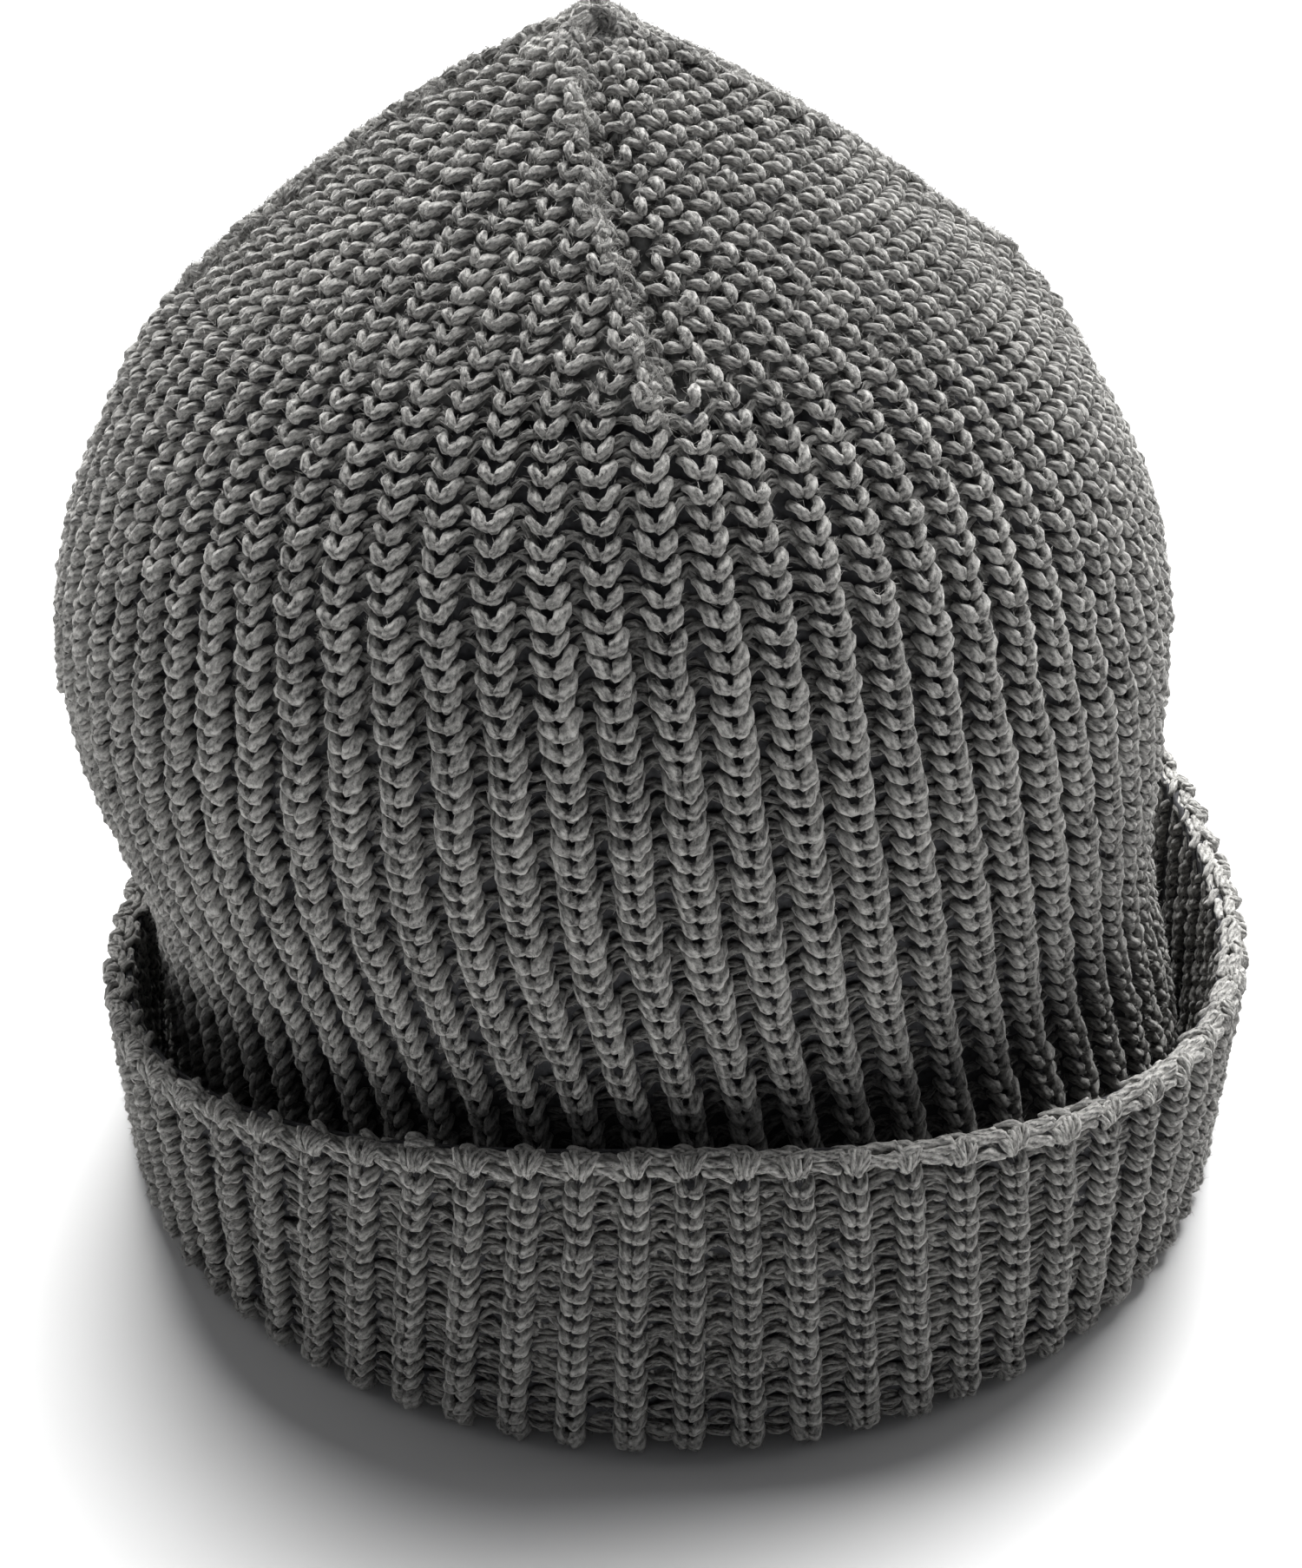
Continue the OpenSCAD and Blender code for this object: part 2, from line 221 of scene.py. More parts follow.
class Yarn:
    """Collects closed lengths of plied yarn, to be joined into one mesh."""

    def __init__(self):
        self.verts, self.quads, self.tris, self.uvs, self.shade, self.count = [], [], [], [], [], 0

    def lay(self, centres, out, radius, sides=8, ply=PLY, turns=0.5, shade=1.0):
        """Lengths of yarn: centres is (lengths, rings, 3), out a direction per length, radius per ring or one
        value. shade darkens the colour, per ring or one value: it stands in for the shadow of the fine fibres
        left out."""
        n, rings, _ = centres.shape
        along = unit(np.gradient(centres, axis=1))
        side = unit(np.cross(along, np.broadcast_to(out[:, None, :], centres.shape)))
        up = np.cross(side, along)
        angle = np.arange(sides) * TURN / sides
        t = np.linspace(0, 1, rings)
        length = np.linalg.norm(np.diff(centres, axis=1), axis=2).sum(1)
        start = rng.random(n) * TURN
        phase = start[:, None] + turns * TURN * t[None, :] * (length / 4)[:, None]
        radius = np.broadcast_to(np.asarray(radius, float), (n, rings))
        r = radius[:, :, None] * (1 + ply * np.cos(2 * (angle[None, None, :] - phase[:, :, None])))
        ring = (centres[:, :, None, :]
                + side[:, :, None, :] * (r * np.cos(angle))[..., None]
                + up[:, :, None, :] * (r * np.sin(angle))[..., None])
        low = centres[:, 0] - along[:, 0] * radius[:, 0, None] * 0.6
        high = centres[:, -1] + along[:, -1] * radius[:, -1, None] * 0.6
        block = rings * sides + 2
        verts = np.concatenate([ring.reshape(n, -1, 3), low[:, None], high[:, None]], 1)
        j, i = np.meshgrid(np.arange(rings - 1), np.arange(sides), indexing="ij")
        nxt = (i + 1) % sides
        this, above = j * sides, (j + 1) * sides
        quad = np.stack([this + i, this + nxt, above + nxt, above + i], -1).reshape(-1, 4)
        k = np.arange(sides)
        kn = (k + 1) % sides
        last = (rings - 1) * sides
        tri = np.concatenate([
            np.stack([kn, k, np.full(sides, rings * sides)], -1),
            np.stack([last + k, last + kn, np.full(sides, rings * sides + 1)], -1),
        ])
        base = self.count + np.arange(n) * block
        self.quads.append((quad[None] + base[:, None, None]).reshape(-1, 4))
        self.tris.append((tri[None] + base[:, None, None]).reshape(-1, 3))
        u = start[:, None, None] * 3 + (length[:, None] * t)[:, :, None] / 4 + np.zeros((1, 1, sides))
        w = np.broadcast_to(angle / TURN, (n, rings, sides))
        uv = np.stack([u, w], -1).reshape(n, -1, 2)
        ends = np.stack([u[:, [0, -1], 0], np.full((n, 2), 0.5)], -1)
        self.uvs.append(np.concatenate([uv, ends], 1).reshape(-1, 2))
        self.verts.append(verts.reshape(-1, 3))
        tone = np.broadcast_to(np.asarray(shade, float), (n, rings))
        self.shade.append(np.concatenate([np.repeat(tone, sides, axis=1), tone[:, [0, -1]]], 1).ravel())
        self.count += n * block

    def fibres(self, root, direction, length):
        """Loose fibres: thin spikes from root points."""
        n = len(root)
        first = unit(direction)
        side = unit(np.cross(first, rng.normal(size=(n, 3))))
        other = np.cross(first, side)
        angle = np.arange(3) * TURN / 3
        star = side[:, None] * np.cos(angle)[None, :, None] + other[:, None] * np.sin(angle)[None, :, None]
        verts = np.concatenate([root[:, None] + star * FIBRE, (root + first * length[:, None])[:, None]], 1)
        tri = np.array([[0, 2, 1], [0, 1, 3], [1, 2, 3], [2, 0, 3]])
        base = self.count + np.arange(n) * 4
        self.tris.append((tri[None] + base[:, None, None]).reshape(-1, 3))
        self.verts.append(verts.reshape(-1, 3))
        self.uvs.append(np.repeat(rng.random((n, 2)) * 5, 4, axis=0))
        self.shade.append(np.full(n * 4, FIBRE_SHADE))
        self.count += n * 4

    def fuzz(self, centres, out, radius, each, reach=1.5):
        """Some loose fibres on each length of yarn."""
        n, rings, _ = centres.shape
        if each <= 0:
            return
        pick = np.repeat(np.arange(n), each)
        j = rng.integers(1, rings - 1, len(pick))
        p = centres[pick, j]
        along = unit(centres[pick, j + 1] - centres[pick, j - 1])
        o = out[pick]
        side = unit(np.cross(along, o))
        theta = rng.uniform(0.1, 0.9, len(pick)) * math.pi
        normal = side * np.cos(theta)[:, None] + np.cross(side, along) * np.sin(theta)[:, None]
        normal = np.where((np.sum(normal * o, 1) < 0)[:, None], -normal, normal)
        swing = rng.choice([-1, 1], len(pick))[:, None] * rng.uniform(0.4, 1.6, (len(pick), 1))
        stand = normal * rng.uniform(0.3, 0.9, (len(pick), 1))
        direction = stand + along * swing + rng.normal(0, 0.3, p.shape)
        self.fibres(p + normal * radius * 0.8, direction, rng.uniform(0.45, 1.0, len(pick)) * reach)

    def finish(self, name, material, *nodes, slot="rib_knit"):
        verts = np.concatenate(self.verts)
        verts[:, 2] = np.maximum(verts[:, 2], FLOOR_CLEAR)
        obj = make_mesh(name, verts, np.concatenate(self.quads), np.concatenate(self.tris), material,
                        np.concatenate(self.uvs), np.concatenate(self.shade))
        if nodes:
            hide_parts(*nodes)
        return obj


def frames(place, u, v, du, dv):
    """Point, sideways, upward and outward directions of a surface place(u, v) at each stitch."""
    p = place(u, v)
    side = place(u + du, v) - place(u - du, v)
    up = unit(place(u, v + dv) - place(u, v - dv))
    out = unit(np.cross(side, up))
    return p, unit(np.cross(up, out)), up, out


def local_points(p, side, up, out):
    """Gives a function that turns sideways, upward and outward offsets into points."""
    def at(x, y, z):
        x, y, z = np.broadcast_arrays(x, y, z)
        return (p[:, None] + side[:, None] * x[..., None] + up[:, None] * y[..., None]
                + out[:, None] * z[..., None])
    return at


def knit_stitches(yarn, place, u, v, rib, row, du, dv, size=1.0, strands=True, lift=0.0, fuzz=9, dive=1.9,
                  valley=0.0, spread_of_v=0.262, strand_shade=0.42, steep=1.0):
    """Knit stitches of a rib at (u, v), with the strands of the valley to their right."""
    p, side, up, out = frames(place, u, v, du, dv)
    n = len(p)
    rib = np.broadcast_to(rib, (n,))[:, None]
    row = np.broadcast_to(row, (n,))[:, None]
    size = np.broadcast_to(size, (n,))[:, None]
    at = local_points(p, side, up, out)

    def shake(amount):
        return rng.normal(0, amount, (n, 1))

    t = np.linspace(0, 1, 7)
    thick = size * YARN * (1 + shake(0.08)) * (0.76 + 0.24 * np.sin(np.pi * t) ** 0.7)
    level = lift + shake(0.16)
    tilt = shake(0.09)
    half_v = np.broadcast_to(spread_of_v, (n,))[:, None]
    # strand_shade darkens the strands deep in the valleys: painted shade, its value set per region by the
    # callers
    strand_shade = np.broadcast_to(strand_shade, (n,))[:, None]
    # painted shade at both ends of each leg, where it dives into the fabric
    dim = 1 - END_DIM * t**4 - START_DIM * (1 - t) ** 3
    # the left leg is longer and flatter
    reach = half_v * (1 + shake(0.08))
    x = -rib * (0.016 + reach * t**0.7)
    y = row * (-0.42 + (0.80 * steep + shake(0.08)) * t**1.5) + tilt * x
    z = level - 0.95 - 0.55 * (1 - t) ** 2 - dive * t**4
    left = at(x, y, z)
    yarn.lay(left, out, thick * 0.96, turns=0.75, shade=dim)
    yarn.fuzz(left, out, YARN, fuzz)
    # the right leg is steeper, fatter and on top
    reach = half_v * (1 + shake(0.08))
    x = rib * (0.006 + reach * t**0.7)
    y = row * (-0.5 + (0.92 * steep + shake(0.08)) * t**1.45) + tilt * x
    z = level - 0.9 - 0.3 * (1 - t) ** 2 - dive * t**4
    right = at(x, y, z)
    yarn.lay(right, out, thick * 1.06, turns=0.75, shade=dim)
    yarn.fuzz(right, out, YARN, fuzz)
    if strands:
        t = np.linspace(0, 1, 5)
        valley = np.broadcast_to(valley, (n,))[:, None]
        for high, deep, girth, rise in ((0.0, -3.9, 0.72, 0.4), (0.55, -4.1, 0.6, -0.4)):
            x = rib * (0.25 + 0.5 * t)
            y = row * (high + (rise + shake(0.3)) * t + (0.35 + shake(0.2)) * np.sin(np.pi * t)) + shake(0.35)
            z = lift + deep + valley + 0.35 * np.sin(np.pi * t) + shake(0.25)
            strand = at(x, y, z)
            yarn.lay(strand, out, thick[:, :5] * girth * (1 + shake(0.15)), sides=6, ply=0.1, turns=0.5,
                     shade=strand_shade)
            yarn.fuzz(strand, out, YARN * girth, fuzz // 3, 1.2)


# ---------------------------------------------------------------- materials
def new_material(name):
    material = bpy.data.materials.new(name)
    material.use_nodes = True
    nodes = material.node_tree.nodes
    return material, nodes, material.node_tree.links, nodes["Principled BSDF"]


def math_node(nodes, links, operation, a, b=None, c=None):
    node = nodes.new("ShaderNodeMath")
    node.operation = operation
    for socket, value in zip(node.inputs, (a, b, c)):
        if value is None:
            continue
        if isinstance(value, (int, float)):
            socket.default_value = value
        else:
            links.new(value, socket)
    return node.outputs[0]


def noise_node(nodes, links, vector, scale, detail, roughness=0.5):
    node = nodes.new("ShaderNodeTexNoise")
    node.inputs["Scale"].default_value = scale
    node.inputs["Detail"].default_value = detail
    node.inputs["Roughness"].default_value = roughness
    links.new(vector, node.inputs["Vector"])
    return node.outputs["Fac"]


def yarn_material(name, dark, light):
    """Melange plied yarn: ply lines wound round it, fibre streaks, light and dark flecks, a soft sheen."""
    material, nodes, links, shader = new_material(name)
    uv = nodes.new("ShaderNodeUVMap")
    uv.uv_map = "yarn"
    place = nodes.new("ShaderNodeTexCoord").outputs["Object"]
    split = nodes.new("ShaderNodeSeparateXYZ")
    links.new(uv.outputs[0], split.inputs[0])
    along, around = split.outputs[0], split.outputs[1]
    streak_map = nodes.new("ShaderNodeMapping")
    streak_map.inputs["Rotation"].default_value = (0, 0, math.radians(25))
    streak_map.inputs["Scale"].default_value = (2.4, 6.0, 1.0)
    links.new(uv.outputs[0], streak_map.inputs["Vector"])
    streak = noise_node(nodes, links, streak_map.outputs[0], 1.7, 3.0, 0.65)
    wander = math_node(nodes, links, "MULTIPLY", streak, 3.5)
    wound = math_node(nodes, links, "MULTIPLY_ADD", around, 4 * TURN, wander)
    wound = math_node(nodes, links, "MULTIPLY_ADD", along, 1.6 * TURN, wound)
    ply = math_node(nodes, links, "MULTIPLY_ADD", math_node(nodes, links, "SINE", wound), 0.5, 0.5)
    fleck = noise_node(nodes, links, place, 2300.0, 3.0, 0.7)
    patch = noise_node(nodes, links, place, 90.0, 2.0)
    tone = math_node(nodes, links, "MULTIPLY", streak, 0.50)
    tone = math_node(nodes, links, "MULTIPLY_ADD", fleck, 0.26, tone)
    tone = math_node(nodes, links, "MULTIPLY_ADD", patch, 0.14, tone)
    tone = math_node(nodes, links, "MULTIPLY_ADD", ply, 0.10, tone)
    ramp = nodes.new("ShaderNodeValToRGB")
    ramp.color_ramp.elements[0].position = 0.39
    ramp.color_ramp.elements[0].color = (*dark, 1)
    ramp.color_ramp.elements[1].position = 0.61
    ramp.color_ramp.elements[1].color = (*light, 1)
    links.new(tone, ramp.inputs[0])
    # the shade attribute scales the base colour down: painted shade on leg ends, valley strands and dart yarn
    depth = nodes.new("ShaderNodeAttribute")
    depth.attribute_name = "shade"
    dimmed = nodes.new("ShaderNodeVectorMath")
    dimmed.operation = "SCALE"
    links.new(ramp.outputs[0], dimmed.inputs[0])
    links.new(depth.outputs["Fac"], dimmed.inputs["Scale"])
    links.new(dimmed.outputs[0], shader.inputs["Base Color"])
    height = math_node(nodes, links, "MULTIPLY", fleck, 0.4)
    height = math_node(nodes, links, "MULTIPLY_ADD", ply, 0.35, height)
    height = math_node(nodes, links, "MULTIPLY_ADD", streak, 0.9, height)
    bump = nodes.new("ShaderNodeBump")
    bump.inputs["Strength"].default_value = 0.55
    bump.inputs["Distance"].default_value = 0.0003
    links.new(height, bump.inputs["Height"])
    links.new(bump.outputs[0], shader.inputs["Normal"])
    shader.inputs["Roughness"].default_value = 0.95
    shader.inputs["Specular IOR Level"].default_value = 0.12
    shader.inputs["Sheen Weight"].default_value = 0.35
    shader.inputs["Sheen Roughness"].default_value = 0.5
    shader.inputs["Sheen Tint"].default_value = (0.8, 0.79, 0.76, 1)
    return material


def plain_material(name, colour, scale, spread):
    """Plain cloth or paint with a faint mottle, by the given share of its colour."""
    material, nodes, links, shader = new_material(name)
    noise = noise_node(nodes, links, nodes.new("ShaderNodeTexCoord").outputs["Object"], scale, 3.0)
    ramp = nodes.new("ShaderNodeValToRGB")
    ramp.color_ramp.elements[0].color = (*[c * (1 - spread) for c in colour], 1)
    ramp.color_ramp.elements[1].color = (*[c * (1 + spread) for c in colour], 1)
    links.new(noise, ramp.inputs[0])
    links.new(ramp.outputs[0], shader.inputs["Base Color"])
    shader.inputs["Roughness"].default_value = 0.95
    shader.inputs["Specular IOR Level"].default_value = 0.1
    return material


YARN_DARK, YARN_LIGHT = (0.05, 0.049, 0.048), (0.40, 0.394, 0.375)
rib_yarn = yarn_material("rib_yarn", YARN_DARK, YARN_LIGHT)
# layers standing for the fabric behind the yarn, coloured much darker than the yarn: painted shade for what
# shows through the gaps between stitches; the crown's layer, also used for the lump under the tip, is lighter
ground = plain_material("knit_ground_shade", (0.05, 0.05, 0.053), 1200.0, 0.8)
crown_back_shade = plain_material("crown_back_shade", (0.09, 0.09, 0.088), 1200.0, 0.8)
tape = plain_material("label_tape", (0.62, 0.60, 0.56), 2500.0, 0.12)
thread = plain_material("label_thread", (0.06, 0.06, 0.06), 2500.0, 0.4)

# ---------------------------------------------------------------- camera, light and floor
CAMERA_AT = (-3.57, -329.05, 249.1)
CAMERA_DOWN = 0.526
LENS, SENSOR = 63.08, 36.0

camera_data = bpy.data.cameras.new("camera")
camera_data.sensor_fit = "HORIZONTAL"
camera_data.sensor_width = SENSOR
camera_data.lens = LENS
camera_data.clip_start = 0.01
camera = bpy.data.objects.new("camera", camera_data)
camera.location = [c * MM for c in CAMERA_AT]
camera.rotation_euler = (math.pi / 2 - CAMERA_DOWN, 0, 0)
bpy.context.scene.collection.objects.link(camera)
bpy.context.scene.camera = camera


HAT_MIDDLE = (0, 0, 0.1)


def place_light(name, data, place):
    """Puts a light at a place in metres, aimed at the hat."""
    light = bpy.data.objects.new(name, data)
    light.location = place
    direction = np.array(HAT_MIDDLE) - np.array(place)
    light.rotation_euler = (
        math.atan2(math.hypot(direction[0], direction[1]), -direction[2]),
        0,
        math.atan2(direction[1], direction[0]) - math.pi / 2,
    )
    bpy.context.scene.collection.objects.link(light)


def area_light(name, place, side, power):
    """Square softbox beside the hat."""
    data = bpy.data.lights.new(name, "AREA")
    data.shape = "RECTANGLE"
    data.size = data.size_y = side
    data.energy = power
    place_light(name, data, place)


def soft_sun(name, place, width, strength):
    """Distant overhead softbox; width is its size in the sky, in degrees."""
    data = bpy.data.lights.new(name, "SUN")
    data.angle = math.radians(width)
    data.energy = strength
    place_light(name, data, place)


soft_sun("top_softbox", (0.1, 0.52, 1.0), 46, 11.4)
area_light("right_softbox", (1.2, 0.35, 0.6), 0.9, 4.2)
area_light("left_softbox", (-1.2, 0.35, 0.6), 0.9, 3.2)

world = bpy.data.worlds.new("studio")
world.use_nodes = True
world.node_tree.nodes["Background"].inputs[0].default_value = (0.95, 0.96, 1.0, 1)
# a pale band at the horizon, darker overhead
world_nodes = world.node_tree.nodes
direction = world_nodes.new("ShaderNodeSeparateXYZ")
world.node_tree.links.new(world_nodes.new("ShaderNodeTexCoord").outputs["Generated"], direction.inputs[0])
band = world_nodes.new("ShaderNodeMapRange")
band.inputs["From Min"].default_value = 0.02
band.inputs["From Max"].default_value = 0.35
band.inputs["To Min"].default_value = 0.45
band.inputs["To Max"].default_value = 0.11
world.node_tree.links.new(direction.outputs[2], band.inputs["Value"])
world.node_tree.links.new(band.outputs[0], world_nodes["Background"].inputs[1])
bpy.context.scene.world = world
bpy.context.scene.view_settings.view_transform = "Standard"

FLOOR_HALF = 12.0
floor_material = plain_material("pale_floor", (0.6, 0.6, 0.6), 2.0, 0.02)
floor_mesh = bpy.data.meshes.new("floor")
floor_mesh.from_pydata([(x * FLOOR_HALF, y * FLOOR_HALF, 0) for x, y in ((-1, -1), (1, -1), (1, 1), (-1, 1))],
                       [], [(0, 1, 2, 3)])
floor_mesh.materials.append(floor_material)
floor = bpy.data.objects.new("floor", floor_mesh)
bpy.context.scene.collection.objects.link(floor)

# ---------------------------------------------------------------- where the stitches sit
def arc_heights(z0, z1, step):
    """Heights from z0 to z1 along the body's profile; the rows are a little taller towards the darts."""
    z = np.linspace(z0, z1, 800)
    p = body_point(np.full_like(z, TURN / 8), z)
    tall = 1 - 0.07 * ease((z[1:] - 60) / 40) + 0.17 * ease((z[1:] - 112) / 30)
    s = np.concatenate([[0], np.cumsum(np.linalg.norm(np.diff(p, axis=0), axis=1) / tall)])
    count = max(2, round(s[-1] / step))
    return np.interp(np.linspace(0, s[-1], count + 1), s, z)


def rib_angle(a, z):
    """Angle of the rib that starts at angle a from the front dart."""
    return twist(z) + a + spread(a, z)


wall_z = arc_heights(WALL_LOW_Z, DART_FOOT_Z, ROW)
WALL_ROWS = len(wall_z) - 1


def wall_place(a, row):
    z = np.interp(row, np.arange(len(wall_z)), wall_z)
    return body_point(rib_angle(a, z), z)


# ρ, the distance from the tip along the profile, against height
crown_z = np.linspace(DART_FOOT_Z - 12, CROWN_TOP - 0.05, 600)
crown_path = np.stack([hat_r(crown_z), crown_z], -1)
crown_rho = np.concatenate([[0], np.cumsum(np.linalg.norm(np.diff(crown_path, axis=0), axis=1))])
crown_rho = crown_rho[-1] - crown_rho
FOOT_RHO = float(np.interp(DART_FOOT_Z, crown_z, crown_rho))
FOOT_R = float(hat_r(DART_FOOT_Z))
CROWN_ROW = 3.02
CROWN_ROWS = round(FOOT_RHO / CROWN_ROW)
FAN = 0.10             # how far the rows swing round a dart's foot, 1 being fully square to the ribs
NARROWING = 0.08       # the ribs draw closer towards the tip


def crown_angle(x, row):
    """Height, and angle from the gore's middle, of the rib at distance x from that middle."""
    middle = FOOT_RHO - row * CROWN_ROW
    fan = FAN * ease(row * CROWN_ROW / 25)
    middle = np.maximum(middle, 0.5)
    rho = middle + fan * (np.sqrt(middle**2 + x**2) - middle)
    along = (1 - fan) * x + fan * rho * np.arctan2(x, middle)
    z = np.interp(-rho, -crown_rho, crown_z)
    r = np.maximum(hat_r(z), 0.5)
    return z, along * (r / FOOT_R) ** NARROWING / r


def crown_place(k):
    def place(x, row):
        z, phi = crown_angle(x, row)
        return body_point(twist(z) + (k + 0.5) * GORE + phi, z)
    return place


rib_a = (np.arange(RIBS) + 0.5) * RIB_STEP


def wall_knit():
    for k in range(4):
        ribs = rib_a[(rib_a >= k * GORE) & (rib_a < (k + 1) * GORE)]
        for part, rows in zip(("low", "middle", "high"), np.array_split(np.arange(WALL_ROWS), 3)):
            a, row = np.meshgrid(ribs, rows + 0.5, indexing="ij")
            a, row = a.ravel(), row.ravel()
            z = np.interp(row, np.arange(len(wall_z)), wall_z)
            pitch = hat_r(z) * RIB_STEP * spread_pitch(a, z)
            high, top = ease((z - 40) / 55), ease((z - 115) / 32)
            yarn = Yarn()
            a = a + rng.normal(0, 0.0015, a.shape)
            size = (pitch / EVEN_PITCH) ** 0.4 * (0.9 + 0.1 * high - 0.12 * top)
            knit_stitches(yarn, wall_place, a, row, pitch, ROW, 0.01, 0.5, size, valley=top,
                          spread_of_v=0.205 + 0.065 * high, strand_shade=0.42 + 0.1 * top)
            yarn.finish(f"wall_knit_{part}_{k}", rib_yarn, "body_wall")


def crown_knit():
    for k, node in enumerate(GORE_NAMES):
        a = (np.arange(GORE_RIBS) + 0.5) * RIB_STEP + k * GORE
        at_foot = a + spread(a, DART_FOOT_Z) - (k + 0.5) * GORE
        x0 = at_foot * FOOT_R
        pitch0 = np.gradient(x0)
        x, row = np.meshgrid(x0, np.arange(CROWN_ROWS) + 0.5, indexing="ij")
        pitch = np.broadcast_to(pitch0[:, None], x.shape)
        x, row, pitch = x.ravel(), row.ravel(), pitch.ravel()
        z, phi = crown_angle(x, row)
        room = (GORE / 2 - np.abs(phi)) * hat_r(z)
        pitch = pitch * (hat_r(z) / FOOT_R) ** NARROWING
        squeezed = (room <= 0.5) & (room > -0.45 * pitch)
        x = np.where(squeezed, x * (GORE / 2 - 0.9 / hat_r(z)) / np.abs(phi), x)
        pitch = np.where(squeezed, pitch * 0.62, pitch)
        keep = ((room > 0.5) | squeezed) & (hat_r(z) > 2.6)
        x, row, pitch = x[keep], row[keep], pitch[keep]
        yarn = Yarn()
        size = 0.86 * (pitch / EVEN_PITCH) ** 0.4
        knit_stitches(yarn, crown_place(k), x, row, pitch, CROWN_ROW, 0.6, 0.4, size, fuzz=14, valley=1.3,
                      spread_of_v=0.285, strand_shade=0.58)
        yarn.finish(f"crown_knit_{node}", rib_yarn, f"crown_gore_{node}")


def cuff_raw(a, s):
    """Point at a distance below the cast-on row: down the cuff, under the fold and up its inner side."""
    band = edge_top(a) - EDGE_H - FOLD_H
    on_band = cuff_point(a, np.maximum(1 + s / band, 0))
    e = -s - band
    side = FOLD_H - FOLD_ROUND
    arc = FOLD_ROUND * math.pi / 2
    outer, inner = FOLD_R - FOLD_ROUND, RIM_R - KNIT_T + FOLD_ROUND
    flat = outer - inner
    turn = np.clip((e - side) / FOLD_ROUND, 0, math.pi / 2)
    back = np.clip((e - side - arc - flat) / FOLD_ROUND, 0, math.pi / 2)
    r = outer + FOLD_ROUND * np.cos(turn) - np.clip(e - side - arc, 0, flat)
    r = np.where(back > 0, inner - FOLD_ROUND * np.sin(back), r)
    z = np.where(e < side, FOLD_H - e, FOLD_ROUND * (1 - np.sin(turn)))
    z = np.where(back > 0, FOLD_ROUND * (1 - np.cos(back)), z)
    z = z + np.maximum(e - side - 2 * arc - flat, 0)
    on_fold = np.stack([r * np.sin(a), -r * np.cos(a), z], -1)
    return np.where((e > 0)[..., None], on_fold, on_band)


def cuff_angle(a, s):
    """Angle that a rib of the cuff has reached at a distance below the cast-on row."""
    return a + (CUFF_SPREAD[0] + CUFF_SPREAD[1] * np.clip(-s / CUFF_SPREAD_S, 0, 1)) / 2 * np.sin(2 * a)


def cuff_path(a, s):
    return cuff_raw(cuff_angle(a, s), s)


FOLD_LENGTH = 2 * (FOLD_H - FOLD_ROUND) + FOLD_ROUND * math.pi + (FOLD_R - RIM_R + KNIT_T - 2 * FOLD_ROUND)
CUFF_ROWS = 32         # enough for the cuff and the fold; those past the end are left out
INSIDE_ROWS = 14       # on the cuff's inner face
cuff_a = rib_a + CUFF_TURN


def cuff_inside(a, s):
    """The same on the cuff's inner face, with the angle running the other way."""
    return cuff_point(-a, 1 + s / (edge_top(-a) - EDGE_H - FOLD_H), KNIT_T)


def cuff_knit():
    pitch = FOLD_R * RIB_STEP
    for k in range(4):
        a0 = cuff_a[k * GORE_RIBS:(k + 1) * GORE_RIBS]
        for part in ("cuff", "fold"):
            a, row = np.meshgrid(a0, np.arange(CUFF_ROWS), indexing="ij")
            a, s = a.ravel(), -(row.ravel() + 0.5) * CUFF_ROW
            past = -s - (edge_top(a) - EDGE_H - FOLD_H)
            keep = (past < 0) if part == "cuff" else (past >= 0) & (past < FOLD_LENGTH - 1)
            yarn = Yarn()
            a, s = a[keep], s[keep]
            width = (cuff_angle(a + 0.01, s) - cuff_angle(a - 0.01, s)) / 0.02
            knit_stitches(yarn, cuff_path, a, s, pitch * width, CUFF_ROW, 0.01, 0.4, size=0.94, valley=0.3,
                          spread_of_v=0.19, strand_shade=0.6, steep=0.66)
            yarn.finish(f"{part}_knit_{k}", rib_yarn, {"cuff": "cuff_band", "fold": "turn_up_fold"}[part])
    for half in (0, 1):
        ribs = cuff_a[half * RIBS // 2:(half + 1) * RIBS // 2]
        a, row = np.meshgrid(-(ribs + RIB_STEP / 2), np.arange(INSIDE_ROWS), indexing="ij")
        yarn = Yarn()
        a, s = a.ravel(), -(row.ravel() + 0.5) * CUFF_ROW
        knit_stitches(yarn, cuff_inside, a, s, pitch, CUFF_ROW, 0.01, 0.4, size=0.9, strands=False, lift=0.9,
                      fuzz=4, dive=0.5)
        yarn.finish(f"cuff_knit_inside_{half}", rib_yarn, "cuff_band")


def smooth_path(points, count):
    """Curve of count points through a few control points, given as a list of (x, y, z)."""
    points = np.array(points, float)
    t = np.linspace(0, 1, len(points))
    u = np.linspace(0, 1, count)
    fine = np.linspace(0, 1, 60)
    out = []
    for c in range(3):
        line = np.interp(fine, t, points[:, c])
        for _ in range(3):
            line = np.concatenate([[line[0]], (line[:-2] + line[1:-1] * 2 + line[2:]) / 4, [line[-1]]])
        out.append(np.interp(u, fine, line))
    return out


